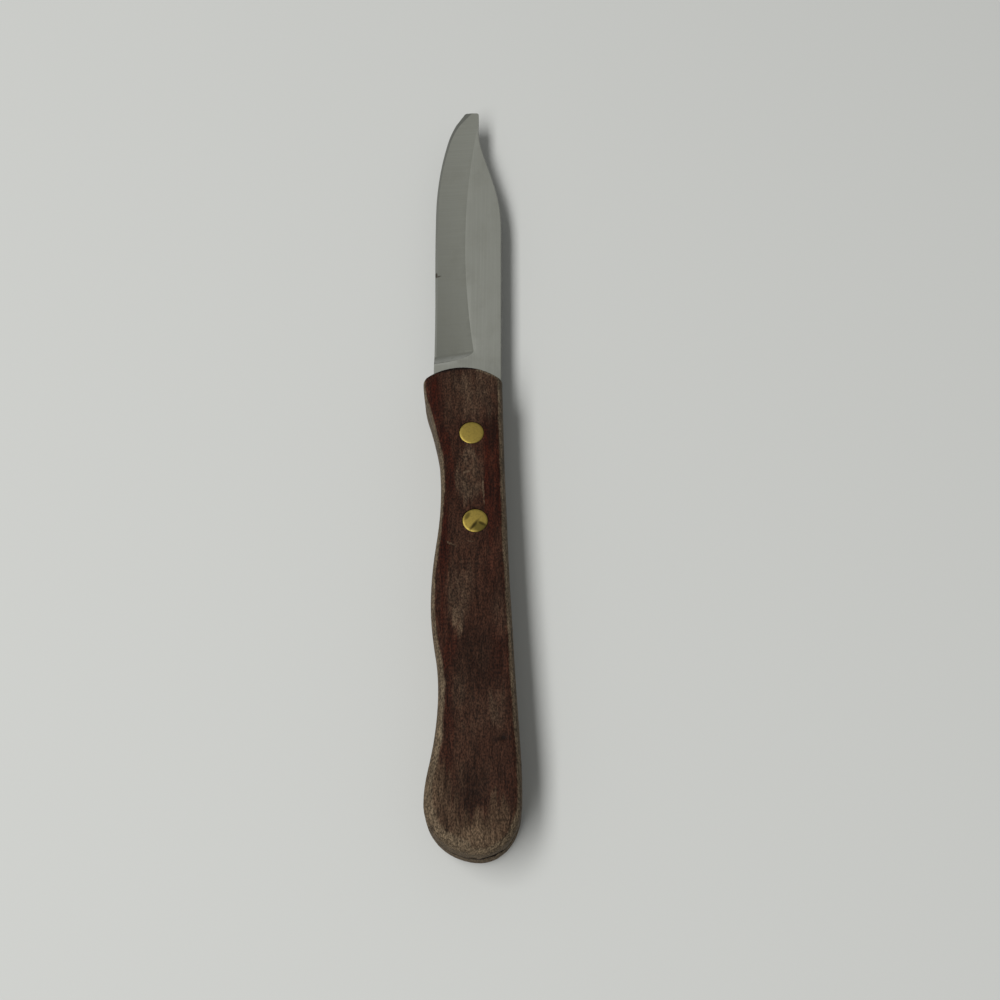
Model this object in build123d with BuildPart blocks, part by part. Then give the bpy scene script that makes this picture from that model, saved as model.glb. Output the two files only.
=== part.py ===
from build123d import *

import math
import os

# Paring knife: a hollow-ground carbon steel blade with a half tang, two hardwood scales that
# meet behind the tang, and two brass compression rivets, each a post pressed into a tube.
# Millimetres. The knife lies on its lower scale: the point is at +Y, the cutting edge faces
# -X, the back +X, and the origin is under the middle of the knife, on the table.

# Overall sizes
handle_length = 104.3
blade_length = 79.2
handle_thickness = 12.5
blade_thickness = 1.4

# Blade outline. A reach is measured from the line of the back towards the cutting edge.
blade_width = 15.7
heel_taper = 0.6
tip_corner_radius = 0.6
back_easing = 0.2

# Hollow grind: the wheel's cut is deepest at grind_width below the grind line, and it leaves
# the steel on an arc in front of the handle, which draws the curved plunge line.
grind_width = 9
edge_thickness = 0.26
grind_heel_reach = 6.2
grind_reach = 8.4
ricasso_length = 7.5
plunge_radius = 5
wheel_run_in = 1.5
wheel_lift_angle = 60
hone_angle = 15
hone_flat = 0.04

# Handle outline: how far the wood reaches from the line of the blade's back
guard_overhang = 2.05
waist_reach = 12.7
palm_reach = 14.25
neck_reach = 12.35
butt_reach = 14.6
butt_depth = 9.5
end_reach = 4
back_step = 0.25
back_knee_rise = 3.7
back_hollow = 0.5
butt_rise = 3.9
crown_reach = 7.8
guard_corner_radius = 1.3
back_corner_radius = 0.5

# Round-over of the scales' outer edges: its height, and its width at each place
round_height = 2.4
front_round = 0.8
guard_round = 1.4
waist_round = 1
palm_round = 1.5
neck_round = 1.8
butt_round = 3.4
end_round = 2.4
back_round = 1.7
round_levels = 6

# Tang and its slot in the scales
wood_below_tang = 2.7
heel_seat = 5
tang_margin = 10
tang_corner_radius = 3
slot_clearance = 0.12

# Rivets: a post with a solid shank in a tube, heads let into the scales flush
front_rivet_station = 17
rivet_spacing = 20.7
front_rivet_reach = 6.35
rear_rivet_reach = 5.4
rivet_head_diameter = 5.3
rivet_head_thickness = 1.2
rivet_tube_diameter = 3.6
rivet_post_diameter = 2.2
rivet_clearance = 0.05
tang_hole_clearance = 0.15
post_end_gap = 0.6
head_easing = 0.12

# How far cutting tools run past what they cut
overrun = 3

# Shares of the handle's length at which the outline's high and low points lie
guard_share = 0.031
waist_share = 0.3
palm_share = 0.522
neck_share = 0.715
back_corner_share = 0.03
back_knee_share = 0.813

# Shares of each stretch of the grip at which its hollow turns into a swell
guard_waist_share = 0.22
waist_palm_share = 0.5
palm_neck_share = 0.5
neck_butt_share = 0.7

# Share of the step from the heel up to the tang that its rounded shoulder takes
heel_shoulder_share = 0.59

# Blade outline points as shares of the blade's length and of its width
edge_start_share = 0.076
edge_full_share = 0.595
edge_sweep_share = 0.5
belly_end_shares = (0.873, 0.848)
tip_bend_shares = (0.95, 0.72)
tip_edge_share = 0.575
tip_back_share = 0.995
clip_start_share = 0.53
clip_bend_shares = (0.7, 0.11)
clip_end_shares = (0.825, 0.285)
clip_tip_shares = (0.92, 0.36)
grind_full_share = 0.56
grind_end_shares = (1.06, 0.26)

# Places that follow from the sizes
knife_length = handle_length + blade_length
heel_width = blade_width - heel_taper
guard_reach = heel_width + guard_overhang
tang_reach = waist_reach - wood_below_tang
shoulder_radius = heel_shoulder_share * (heel_width - tang_reach)
tang_length = front_rivet_station + rivet_spacing + tang_margin
back_x = (guard_reach - butt_rise) / 2
front_y = handle_length - knife_length / 2
mid_z = handle_thickness / 2
blade_top_z = mid_z + blade_thickness / 2
mid_plane = Plane.XY.offset(mid_z)
rivet_body_length = handle_thickness - 2 * rivet_head_thickness - post_end_gap
rivet_places = {
    "front": (front_rivet_reach, front_rivet_station),
    "rear": (rear_rivet_reach, front_rivet_station + rivet_spacing),
}


def behind(reach, station):
    """A place on the handle: its reach from the back's line, its distance behind the front."""
    return (back_x - reach, front_y - station)


def ahead(length_share, reach):
    """A place on the blade: its share of the blade's length, its reach from the back's line."""
    return (back_x - reach, front_y + length_share * blade_length)


def swell(start, stop, turn_share):
    """Two arcs from a high point to a low point of a side, both running along the knife there."""
    turn = (
        start[0] + turn_share * (stop[0] - start[0]),
        start[1] + turn_share * (stop[1] - start[1]),
    )
    along = (0, math.copysign(1, stop[1] - start[1]))
    first = TangentArc(start, turn, tangent=along)
    TangentArc(turn, stop, tangent=first % 1)


def handle_outline(share):
    """Outline of the wood in plan, drawn in by a share of the round-over at every place."""
    guard = behind(guard_reach - share * guard_round, guard_share * handle_length)
    waist = behind(waist_reach - share * waist_round, waist_share * handle_length)
    palm = behind(palm_reach - share * palm_round, palm_share * handle_length)
    neck = behind(neck_reach - share * neck_round, neck_share * handle_length)
    butt = behind(butt_reach - share * butt_round, handle_length - butt_depth)
    end = behind(end_reach, handle_length - share * end_round)
    butt_back = behind(share * back_round - butt_rise, handle_length - butt_depth)
    knee = behind(share * back_round - back_knee_rise, back_knee_share * handle_length)
    back_corner = behind(share * back_round - back_step, back_corner_share * handle_length)
    back_middle = ((knee[0] + back_corner[0]) / 2 - back_hollow, (knee[1] + back_corner[1]) / 2)
    crown = behind(crown_reach, share * front_round)

    with BuildSketch() as outline:
        with BuildLine():
            swell(guard, waist, guard_waist_share)
            swell(waist, palm, waist_palm_share)
            swell(palm, neck, palm_neck_share)
            swell(neck, butt, neck_butt_share)
            end_depth = butt[1] - end[1]
            butt_center = (end[0], butt[1])
            EllipticalCenterArc(butt_center, end[0] - butt[0], end_depth, 180, arc_size=90)
            EllipticalCenterArc(butt_center, butt_back[0] - end[0], end_depth, 270, arc_size=90)
            back_arc = ThreePointArc(back_corner, back_middle, knee)
            TangentArc(knee, butt_back, tangent=back_arc % 1)
            ThreePointArc(back_corner, crown, guard)
        make_face()
        fillet(outline.vertices().sort_by_distance(guard)[0], guard_corner_radius)
        fillet(outline.vertices().sort_by_distance(back_corner)[0], back_corner_radius)
    return outline.sketch


def tang_outline(clearance):
    """Outline of the heel and tang in plan, run out past the wood at the front and the back."""
    outside = -butt_rise - overrun
    end = tang_length + clearance
    tang_end = behind(tang_reach + clearance, end)
    shoulder = behind(tang_reach + clearance, heel_seat + clearance)
    with BuildSketch() as outline:
        with BuildLine():
            Polyline(
                behind(outside, -overrun),
                behind(heel_width + clearance, -overrun),
                behind(heel_width + clearance, heel_seat + clearance),
                shoulder,
                tang_end,
                behind(outside, end),
                close=True,
            )
        make_face()
        fillet(outline.vertices().sort_by_distance(tang_end)[0], tang_corner_radius + clearance)
        fillet(outline.vertices().sort_by_distance(shoulder)[0], shoulder_radius - clearance)
    return outline.sketch


# The round-over's quarter turn, cut into equal steps
level_angles = [level / round_levels * math.pi / 2 for level in range(round_levels + 1)]

wood_outline = handle_outline(0)
tang_blank = tang_outline(0) & wood_outline
slot_outline = tang_outline(slot_clearance)

# The cutting edge, from where it starts in front of the ricasso, past the tip
edge_start = ahead(edge_start_share, heel_width)
edge_full = ahead(edge_full_share, blade_width)
belly_end = ahead(belly_end_shares[0], belly_end_shares[1] * blade_width)
tip_bend = ahead(tip_bend_shares[0], tip_bend_shares[1] * blade_width)
tip_edge = ahead(1, tip_edge_share * blade_width)
tip_run_out = (2 * tip_edge[0] - tip_bend[0], 2 * tip_edge[1] - tip_bend[1])

with BuildLine() as edge_line:
    swell(edge_start, edge_full, edge_sweep_share)
    belly_arc = TangentArc(edge_full, belly_end, tangent=(0, 1))
    TangentArc(belly_end, tip_bend, tangent=belly_arc % 1)
    Line(tip_bend, tip_run_out)

# Blade in plan: the edge, the blunted tip and the clipped back
clip_start = ahead(clip_start_share, 0)
clip_bend = ahead(clip_bend_shares[0], clip_bend_shares[1] * blade_width)
clip_end = ahead(clip_end_shares[0], clip_end_shares[1] * blade_width)
clip_tip = ahead(clip_tip_shares[0], clip_tip_shares[1] * blade_width)
tip_back = ahead(tip_back_share, clip_tip_shares[1] * blade_width)

with BuildSketch() as blade_blank:
    with BuildLine():
        Line(behind(heel_width, heel_seat), edge_start)
        swell(edge_start, edge_full, edge_sweep_share)
        belly_arc = TangentArc(edge_full, belly_end, tangent=(0, 1))
        TangentArc(belly_end, tip_bend, tangent=belly_arc % 1)
        Polyline(tip_bend, tip_edge, tip_back, clip_tip)
        clip_start_arc = TangentArc(clip_start, clip_bend, tangent=(0, 1))
        clip_end_arc = TangentArc(clip_bend, clip_end, tangent=clip_start_arc % 1)
        TangentArc(clip_end, clip_tip, tangent=clip_end_arc % 1)
        Polyline(clip_start, behind(0, heel_seat), behind(heel_width, heel_seat))
    make_face()
    fillet(blade_blank.vertices().sort_by(Axis.Y)[-2:], tip_corner_radius)
    add(tang_blank)

# The wheel runs along one long arc, the grind line, and then lifts out of the steel at the heel
grind_start = ahead(ricasso_length / blade_length, grind_heel_reach)
grind_full = ahead(grind_full_share, grind_reach)
grind_end = ahead(grind_end_shares[0], grind_end_shares[1] * blade_width)
grind_depth = (blade_thickness - edge_thickness) / 2
wheel_radius = (grind_width**2 + grind_depth**2) / (2 * grind_depth)
wheel_rise = wheel_radius - math.sqrt(wheel_radius**2 - (grind_width + wheel_run_in) ** 2) - grind_depth
wheel_far = grind_width + overrun
wheel_lift = plunge_radius / 2

grind_line = ThreePointArc(grind_start, grind_full, grind_end)
heel_direction = grind_line % 0
wheel_plane = Plane(
    origin=(grind_start[0], grind_start[1], blade_top_z),
    x_dir=heel_direction.rotate(Axis.Z, 90),
    z_dir=heel_direction,
)
run_axis = Axis(grind_line.arc_center, (0, 0, -1))
lift_axis = Axis(wheel_plane.from_local_coords((0, plunge_radius)), wheel_plane.x_dir)
run_angle = math.degrees(grind_line.length / grind_line.radius)

with BuildPart() as wheel_cut:
    with BuildSketch(wheel_plane) as wheel_section:
        with BuildLine():
            TangentArc((grind_width, -grind_depth), (-wheel_run_in, wheel_rise), tangent=(-1, 0))
            Polyline(
                (-wheel_run_in, wheel_rise),
                (-wheel_run_in, wheel_lift),
                (wheel_far, wheel_lift),
                (wheel_far, -grind_depth),
                (grind_width, -grind_depth),
            )
        make_face()
    revolve(wheel_section.sketch, axis=run_axis, revolution_arc=run_angle)
    revolve(wheel_section.sketch, axis=lift_axis, revolution_arc=wheel_lift_angle)

# The stone's cut along the edge, above a plane tilted by the honing angle
hone_slope = math.tan(math.radians(hone_angle))
hone_top = blade_thickness / 2
hone_plane = Plane(origin=(edge_start[0], edge_start[1], mid_z), x_dir=(-1, 0, 0), z_dir=(0, 1, 0))

with BuildPart() as hone_cut:
    with BuildSketch(hone_plane) as hone_section:
        with BuildLine():
            Polyline(
                ((hone_flat / 2 - hone_top) / hone_slope, hone_top),
                (overrun, hone_top),
                (overrun, hone_flat / 2 - overrun * hone_slope),
                close=True,
            )
        make_face()
    sweep(sections=hone_section.sketch, path=edge_line.wire().translate((0, 0, mid_z)))

with BuildPart() as blade:
    with BuildSketch(mid_plane):
        add(blade_blank.sketch)
    extrude(amount=blade_thickness / 2, both=True)
    blade_edges = blade.faces().filter_by(Axis.Z).edges().filter_by(lambda edge: edge.center().Y > front_y)
    fillet(blade_edges.filter_by(lambda edge: edge.center().X > tip_back[0]), back_easing)
    for cut in (wheel_cut.part, hone_cut.part):
        add(cut, mode=Mode.SUBTRACT)
        mirror(cut, about=mid_plane, mode=Mode.SUBTRACT)
    for reach, station in rivet_places.values():
        with BuildSketch(mid_plane):
            with Locations(behind(reach, station)):
                Circle(rivet_tube_diameter / 2 + tang_hole_clearance)
        extrude(amount=blade_thickness / 2, both=True, mode=Mode.SUBTRACT)
blade.part.label = "blade"

with BuildPart() as upper_scale:
    with BuildSketch(mid_plane):
        add(wood_outline)
    for angle in level_angles:
        with BuildSketch(Plane.XY.offset(handle_thickness - round_height * (1 - math.sin(angle)))):
            add(handle_outline(1 - math.cos(angle)))
    loft(ruled=True)
    with BuildSketch(mid_plane):
        add(slot_outline)
    extrude(amount=blade_thickness / 2, mode=Mode.SUBTRACT)
    for reach, station in rivet_places.values():
        with BuildSketch(mid_plane):
            with Locations(behind(reach, station)):
                Circle(rivet_tube_diameter / 2 + rivet_clearance)
        extrude(amount=mid_z, mode=Mode.SUBTRACT)
        with BuildSketch(Plane.XY.offset(handle_thickness)):
            with Locations(behind(reach, station)):
                Circle(rivet_head_diameter / 2 + rivet_clearance)
        extrude(amount=-rivet_head_thickness, mode=Mode.SUBTRACT)
upper_scale.part.label = "upper_scale"

with BuildPart() as lower_scale:
    mirror(upper_scale.part, about=mid_plane)
lower_scale.part.label = "lower_scale"


def rivet_post(place):
    """The rivet's upper half: a head flush with the wood and a solid shank."""
    with BuildPart() as post:
        with BuildSketch(Plane.XY.offset(handle_thickness)):
            with Locations(behind(*place)):
                Circle(rivet_head_diameter / 2)
        extrude(amount=-rivet_head_thickness)
        chamfer(post.faces().sort_by(Axis.Z)[-1].edges(), head_easing)
        with BuildSketch(Plane.XY.offset(handle_thickness - rivet_head_thickness)):
            with Locations(behind(*place)):
                Circle(rivet_post_diameter / 2)
        extrude(amount=-rivet_body_length)
    return post.part


def rivet_tube(place):
    """The rivet's lower half: a head flush with the wood and the tube that takes the post."""
    with BuildPart() as tube:
        with BuildSketch():
            with Locations(behind(*place)):
                Circle(rivet_head_diameter / 2)
        extrude(amount=rivet_head_thickness)
        chamfer(tube.faces().sort_by(Axis.Z)[0].edges(), head_easing)
        with BuildSketch(Plane.XY.offset(rivet_head_thickness)):
            with Locations(behind(*place)):
                Circle(rivet_tube_diameter / 2)
                Circle(rivet_post_diameter / 2 + rivet_clearance, mode=Mode.SUBTRACT)
        extrude(amount=rivet_body_length)
    return tube.part


os.makedirs("parts", exist_ok=True)
export_step(blade.part, "parts/blade.step")
export_step(upper_scale.part, "parts/upper_scale.step")
export_step(lower_scale.part, "parts/lower_scale.step")
for name, place in rivet_places.items():
    post = rivet_post(place)
    post.label = f"{name}_rivet_post"
    export_step(post, f"parts/{post.label}.step")
    tube = rivet_tube(place)
    tube.label = f"{name}_rivet_tube"
    export_step(tube, f"parts/{tube.label}.step")
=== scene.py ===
"""Looks of a worn paring knife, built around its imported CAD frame.

A satin hollow-ground blade, two old hardwood scales and two brass compression rivets lie on a
pale table. The knife's and the camera's lengths are written in millimetres, which are turned to
metres for Blender, and the table's and the lamp's in metres. The point of the knife is at +Y, its
cutting edge faces -X and its back +X, as in the frame.
"""

import logging
import math
from dataclasses import dataclass, field, replace
from enum import Enum

import bmesh
import bpy
from bmesh.types import BMesh, BMVert
from bpy.types import Material, Node, NodeSocket, NodeTree, Object
from mathutils import Matrix, Vector, noise
from mathutils.bvhtree import BVHTree


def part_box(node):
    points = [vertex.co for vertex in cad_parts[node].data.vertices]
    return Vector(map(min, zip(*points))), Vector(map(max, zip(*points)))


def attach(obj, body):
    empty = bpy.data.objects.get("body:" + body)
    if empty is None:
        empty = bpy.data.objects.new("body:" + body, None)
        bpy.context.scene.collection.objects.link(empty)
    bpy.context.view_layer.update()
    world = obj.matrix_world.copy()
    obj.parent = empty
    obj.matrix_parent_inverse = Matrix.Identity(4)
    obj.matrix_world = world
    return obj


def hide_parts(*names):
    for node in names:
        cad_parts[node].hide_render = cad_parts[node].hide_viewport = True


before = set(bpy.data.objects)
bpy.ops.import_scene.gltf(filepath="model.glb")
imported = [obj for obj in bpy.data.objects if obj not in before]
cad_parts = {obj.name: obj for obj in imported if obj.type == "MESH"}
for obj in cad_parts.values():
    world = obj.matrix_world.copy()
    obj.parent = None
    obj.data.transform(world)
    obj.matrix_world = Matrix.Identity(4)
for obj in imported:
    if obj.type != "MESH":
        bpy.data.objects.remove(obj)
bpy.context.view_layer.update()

log = logging.getLogger("paring_knife")

MILLIMETRES = 1000.0
MERGE_DISTANCE = 1e-6
FLAT_ANGLE = math.radians(0.3)
ROUND_STEPS = 96
BLADE_LENGTH = 79.2
BLADE_WIDTH = 15.7

Pair = tuple[float, float]
Triple = tuple[float, float, float]


def mm(length: float) -> float:
    """Turns millimetres to metres."""
    return length / MILLIMETRES


def linear(hex_code: str) -> tuple[float, float, float, float]:
    """Turns six sRGB hex digits to linear red, green, blue and an alpha of 1."""
    parts = (int(hex_code[i:i + 2], 16) / 255 for i in (0, 2, 4))
    red, green, blue = (c / 12.92 if c <= 0.04045 else ((c + 0.055) / 1.055) ** 2.4 for c in parts)
    return red, green, blue, 1.0


def smooth_step(low: float, high: float, value: float) -> float:
    """Rises smoothly from 0 at low to 1 at high, and gives the height at value."""
    share = min(max((value - low) / (high - low), 0.0), 1.0)
    return share * share * (3 - 2 * share)


def add_node(tree: NodeTree, kind: str, inputs: dict | None = None, **settings) -> Node:
    """Adds a node with its settings, and with its sockets set or linked.

    Args:
        tree: the material's or world's node tree.
        kind: Blender's name of the shader node's type, without its common first part.
        inputs: for each socket's name or number, a value or the output socket that feeds it.
        **settings: the node's own properties.

    Returns:
        The new node.
    """
    node = tree.nodes.new("ShaderNode" + kind)
    for name, value in settings.items():
        setattr(node, name, value)
    for socket, value in (inputs or {}).items():
        if isinstance(value, NodeSocket):
            tree.links.new(value, node.inputs[socket])
        else:
            node.inputs[socket].default_value = value
    return node


def product(tree: NodeTree, *factors: NodeSocket | float) -> NodeSocket:
    """Multiplies masks and numbers."""
    result = factors[0]
    for factor in factors[1:]:
        result = add_node(tree, "Math", {0: result, 1: factor}, operation="MULTIPLY").outputs[0]
    return result


def layered(
    tree: NodeTree, ground: NodeSocket | str, *layers: tuple[NodeSocket, NodeSocket | str]
) -> NodeSocket:
    """Lays colours over a ground, each where its mask is high.

    Args:
        tree: the material's node tree.
        ground: the lowest colour, a socket or sRGB hex digits.
        *layers: each layer's mask and colour, in the order in which they are laid.

    Returns:
        The finished colour's output socket.
    """
    colour = ground
    for mask, cover in layers:
        under, over = (linear(tone) if isinstance(tone, str) else tone for tone in (colour, cover))
        colour = add_node(tree, "Mix", {0: mask, 6: under, 7: over}, data_type="RGBA").outputs[2]
    return colour


@dataclass(frozen=True)
class Grain:
    """A noise with a size of its own along each axis, its middle range widened to 0 to 1.

    Attributes:
        size: its size across, along and up the knife, in mm.
        detail: the number of finer layers in it.
        low: the noise value that becomes 0.
        high: the noise value that becomes 1.
        roughness: how strong the finer layers are.
    """

    size: Triple
    detail: float
    low: float
    high: float
    roughness: float = 0.6

    def draw(self, tree: NodeTree, point: NodeSocket) -> NodeSocket:
        """Draws the pattern from the place on the object in millimetres."""
        stretch = tuple(1 / size for size in self.size)
        drawn = add_node(tree, "VectorMath", {0: point, 1: stretch}, operation="MULTIPLY").outputs[0]
        inputs = {"Vector": drawn, "Scale": 1.0, "Detail": self.detail, "Roughness": self.roughness}
        cloud = add_node(tree, "TexNoise", inputs).outputs["Fac"]
        spread = {"Value": cloud, "From Min": self.low, "From Max": self.high}
        return add_node(tree, "MapRange", spread).outputs["Result"]


@dataclass(frozen=True)
class Sway:
    """A movement of places to and fro, so that borders drawn from them are ragged.

    Attributes:
        rate: how fast it changes across, along and up the knife, in turns a millimetre.
        reach: how far a place may move each way, in mm.
        detail: the number of finer layers in it.
        roughness: how strong the finer layers are.
    """

    rate: Triple
    reach: Triple
    detail: float = 4.0
    roughness: float = 0.65

    def move(self, tree: NodeTree, point: NodeSocket) -> NodeSocket:
        """Moves the place on the object, which is in millimetres."""
        drawn = add_node(tree, "VectorMath", {0: point, 1: self.rate}, operation="MULTIPLY").outputs[0]
        inputs = {"Vector": drawn, "Scale": 1.0, "Detail": self.detail, "Roughness": self.roughness}
        shift = add_node(tree, "TexNoise", inputs).outputs["Color"]
        for operation, other in (("SUBTRACT", (0.5, 0.5, 0.5)), ("MULTIPLY", self.reach), ("ADD", point)):
            shift = add_node(tree, "VectorMath", {0: shift, 1: other}, operation=operation).outputs[0]
        return shift


@dataclass(frozen=True)
class Patch:
    """An oval area of a surface, in plan.

    Attributes:
        centre: its middle, across and along the knife, in mm.
        radii: its half width and half length in mm.
        turn: how far it is turned in plan, in degrees.
        soft: the share of the radii over which its border fades, each way.
        cover: how strongly it covers, from 0 to 1.
    """

    centre: Pair
    radii: Pair
    turn: float = 0.0
    soft: float = 0.5
    cover: float = 1.0

    def mask(self, tree: NodeTree, point: NodeSocket) -> NodeSocket:
        """Draws the patch as a mask, from 0 outside to its cover inside."""
        placing = {
            "Vector": point,
            "Location": (*self.centre, 0.0),
            "Rotation": (0.0, 0.0, math.radians(self.turn)),
            "Scale": (*self.radii, MILLIMETRES),
        }
        own = add_node(tree, "Mapping", placing, vector_type="TEXTURE")
        reach = add_node(tree, "VectorMath", {0: own.outputs[0]}, operation="LENGTH")
        fade = {
            "Value": reach.outputs["Value"],
            "From Min": 1 + self.soft,
            "From Max": 1 - self.soft,
            "To Max": self.cover,
        }
        return add_node(tree, "MapRange", fade, interpolation_type="SMOOTHSTEP").outputs["Result"]


Patches = tuple[Patch, ...]


def all_patches(tree: NodeTree, point: NodeSocket, patches: Patches) -> NodeSocket:
    """Draws several patches as one mask, the strongest of them at each place."""
    mask, *others = (patch.mask(tree, point) for patch in patches)
    for other in others:
        mask = add_node(tree, "Math", {0: mask, 1: other}, operation="MAXIMUM").outputs[0]
    return mask


def broken_patches(
    tree: NodeTree, point: NodeSocket, patches: Patches, breaker: NodeSocket, floor: float
) -> NodeSocket:
    """Draws patches that a pattern breaks up, down to a floor where it is lowest."""
    raised = add_node(tree, "MapRange", {"Value": breaker, "To Min": floor})
    return product(tree, all_patches(tree, point, patches), raised.outputs["Result"])


@dataclass(frozen=True)
class Finish:
    """A material, drawn in the object's own coordinates."""

    name: str = "finish"

    def make(self) -> Material:
        """Makes the material."""
        material = bpy.data.materials.new(self.name)
        material.use_nodes = True
        tree = material.node_tree
        tree.nodes.clear()
        place = add_node(tree, "TexCoord").outputs["Object"]
        point = add_node(tree, "VectorMath", {0: place, 3: MILLIMETRES}, operation="SCALE")
        surface = add_node(tree, "BsdfPrincipled", self._surface(tree, point.outputs[0]))
        add_node(tree, "OutputMaterial", {"Surface": surface.outputs[0]})
        return material

    def _surface(self, tree: NodeTree, point: NodeSocket) -> dict:
        """Draws the surface: a value or an output socket for each shader socket that it sets."""
        raise NotImplementedError


@dataclass(frozen=True)
class WornHardwood(Finish):
    """Old red tropical hardwood, shaped on a belt, stained and worn by water.

    What it gives the eye: a dark red-brown ground with fine fibres and open pores along the
    grip, deep red where the stain is left, and dry grey-tan wood on the rubbed edges and butt.
    The rubbed edges are also painted lighter, as painted light against the shade on their sloping
    sides, and painted shade darkens the gaps between the parts and the front edge where the steel
    goes in.
    """

    dark_fibre: str = "160904"
    light_fibre: str = "3F261B"
    stain_dark: str = "140301"
    stain_red: str = "3C1105"
    worn_dark: str = "30251D"
    worn_light: str = "62503F"
    bare_dark: str = "3B2E22"
    bare_light: str = "655442"
    # Tones of the rubbed rim: real wear, and painted light that offsets the shade on the rim's sloping
    # sides
    rubbed_lit_rim_dark: str = "3B3126"
    rubbed_lit_rim_light: str = "6E5F4C"
    pore_tone: str = "130B08"
    # Dark tone for dirt in the breaks, and for painted shade in the gaps between the parts and at the front
    # edge; the side walls darker towards the seam
    grime_and_shade_tone: str = "0E0907"
    scuff_tone: str = "7A6853"
    lines: Grain = Grain((0.5, 4.5, 0.5), 4.0, 0.36, 0.64)
    streaks: Grain = Grain((0.8, 13.0, 0.8), 3.0, 0.36, 0.64)
    flakes: Grain = Grain((1.1, 1.7, 1.1), 4.0, 0.42, 0.62)
    bands: Grain = Grain((2.6, 60.0, 2.6), 3.0, 0.35, 0.65)
    mottle: Grain = Grain((3.4, 7.0, 3.4), 5.0, 0.38, 0.64)
    # Real pores are about 0.2 mm wide; they are drawn a little wider so that they show
    pores: Grain = Grain((0.3, 2.6, 0.3), 1.0, 0.57, 0.68)
    dust: Grain = Grain((0.42, 0.6, 0.42), 2.0, 0.35, 0.7)
    # Raised fibres are finer than a pixel; they are drawn this coarse so that they show
    grit: Grain = Grain((0.26, 0.5, 0.26), 2.0, 0.4, 0.6)
    along_grain: Sway = Sway((0.9, 0.09, 0.9), (1.5, 15.0, 1.5))
    any_way: Sway = Sway((0.6, 0.6, 0.6), (0.5, 1.2, 0.5))
    # How much of one pattern goes into another, and what the breaking patterns leave of a patch
    streak_share: float = 0.4
    flake_share: float = 0.35
    dust_flake_share: float = 0.55
    stain_floor: float = 0.35
    worn_floor: float = 0.25
    bare_floor: float = 0.55
    scuff_floor: float = 0.2
    shade_strength: float = 0.75
    pore_strength: float = 0.3
    grit_range: Pair = (0.5, 1.5)
    rim_break: float = 0.5
    rim_range: Pair = (0.45, 1.15)
    roughness_range: Pair = (0.62, 0.85)
    ior: float = 1.5
    specular: float = 0.08
    relief: float = mm(0.07)
    relief_strength: float = 0.8
    stained: Patches = ()
    worn: Patches = ()
    shaded: Patches = ()
    bare: Patches = ()
    scuffs: Patches = ()
    chips: Patches = ()
    # Where the painted shade along the wood's front edge lies
    front_shade_inside: Patch = Patch((0.0, -14.9), (26.3, 26.3), soft=0.008)
    front_shade_span: Patch = Patch((-3.2, 12.0), (6.6, 3.0), soft=0.15, cover=0.9)

    def _surface(self, tree: NodeTree, point: NodeSocket) -> dict:
        """Draws fibres, stain, wear and dirt over one another."""
        ragged = self.along_grain.move(tree, point)
        crisp = self.any_way.move(tree, point)
        lines, streaks, flakes, bands, pores = (
            grain.draw(tree, ragged)
            for grain in (self.lines, self.streaks, self.flakes, self.bands, self.pores)
        )
        grit, mottle, dust = (grain.draw(tree, point) for grain in (self.grit, self.mottle, self.dust))
        fibre = add_node(tree, "Mix", {0: self.streak_share, 2: lines, 3: streaks}).outputs[0]
        fibre = add_node(tree, "Mix", {0: self.flake_share, 2: fibre, 3: flakes}).outputs[0]
        speckle = add_node(tree, "Mix", {0: self.dust_flake_share, 2: dust, 3: flakes}).outputs[0]

        bare_mask = broken_patches(tree, ragged, self.bare, mottle, self.bare_floor)
        whole = layered(
            tree,
            self.dark_fibre,
            (fibre, self.light_fibre),
            (
                broken_patches(tree, ragged, self.stained, bands, self.stain_floor),
                layered(tree, self.stain_dark, (fibre, self.stain_red)),
            ),
            (
                broken_patches(tree, ragged, self.worn, mottle, self.worn_floor),
                layered(tree, self.worn_dark, (speckle, self.worn_light)),
            ),
            (product(tree, all_patches(tree, ragged, self.shaded), self.shade_strength), self.dark_fibre),
            (bare_mask, layered(tree, self.bare_dark, (fibre, self.bare_light))),
            # The rubbed rim: real wear, partly painted light against the shade on its sloping sides
            (self._rubbed_lit_rim_mask(tree, mottle), layered(tree, self.rubbed_lit_rim_dark, (fibre, self.rubbed_lit_rim_light))),
            (product(tree, pores, self.pore_strength), self.pore_tone),
            (broken_patches(tree, crisp, self.scuffs, flakes, self.scuff_floor), self.scuff_tone),
        )
        low, high = self.grit_range
        fuzz = add_node(tree, "MapRange", {"Value": grit, "To Min": low, "To Max": high})
        fuzzed = {0: 1.0, 6: whole, 7: fuzz.outputs["Result"]}
        colour = add_node(tree, "Mix", fuzzed, data_type="RGBA", blend_type="MULTIPLY").outputs[2]
        chips = all_patches(tree, crisp, self.chips)
        # Dirt in the breaks, and painted shade in the gaps between the parts and in the bores; the side
        # walls darker towards the seam
        grime_and_shade = add_node(tree, "Attribute", attribute_name="grime_and_shade").outputs["Fac"]
        # Painted shade along the wood's front edge, where the steel goes in
        front_edge_shade = self._front_edge_shade(tree, point)
        colour = layered(
            tree, colour, (chips, self.pore_tone), (grime_and_shade, self.grime_and_shade_tone), (front_edge_shade, self.grime_and_shade_tone)
        )

        height = fibre
        for hollow in (pores, chips):
            height = add_node(tree, "Math", {0: height, 1: hollow}, operation="SUBTRACT").outputs[0]
        relief = {"Height": height, "Distance": self.relief, "Strength": self.relief_strength}
        low, high = self.roughness_range
        roughness = add_node(tree, "MapRange", {"Value": bare_mask, "To Min": low, "To Max": high})
        return {
            "Base Color": colour,
            "Roughness": roughness.outputs["Result"],
            "Normal": add_node(tree, "Bump", relief).outputs["Normal"],
            "IOR": self.ior,
            "Specular IOR Level": self.specular,
        }

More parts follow.
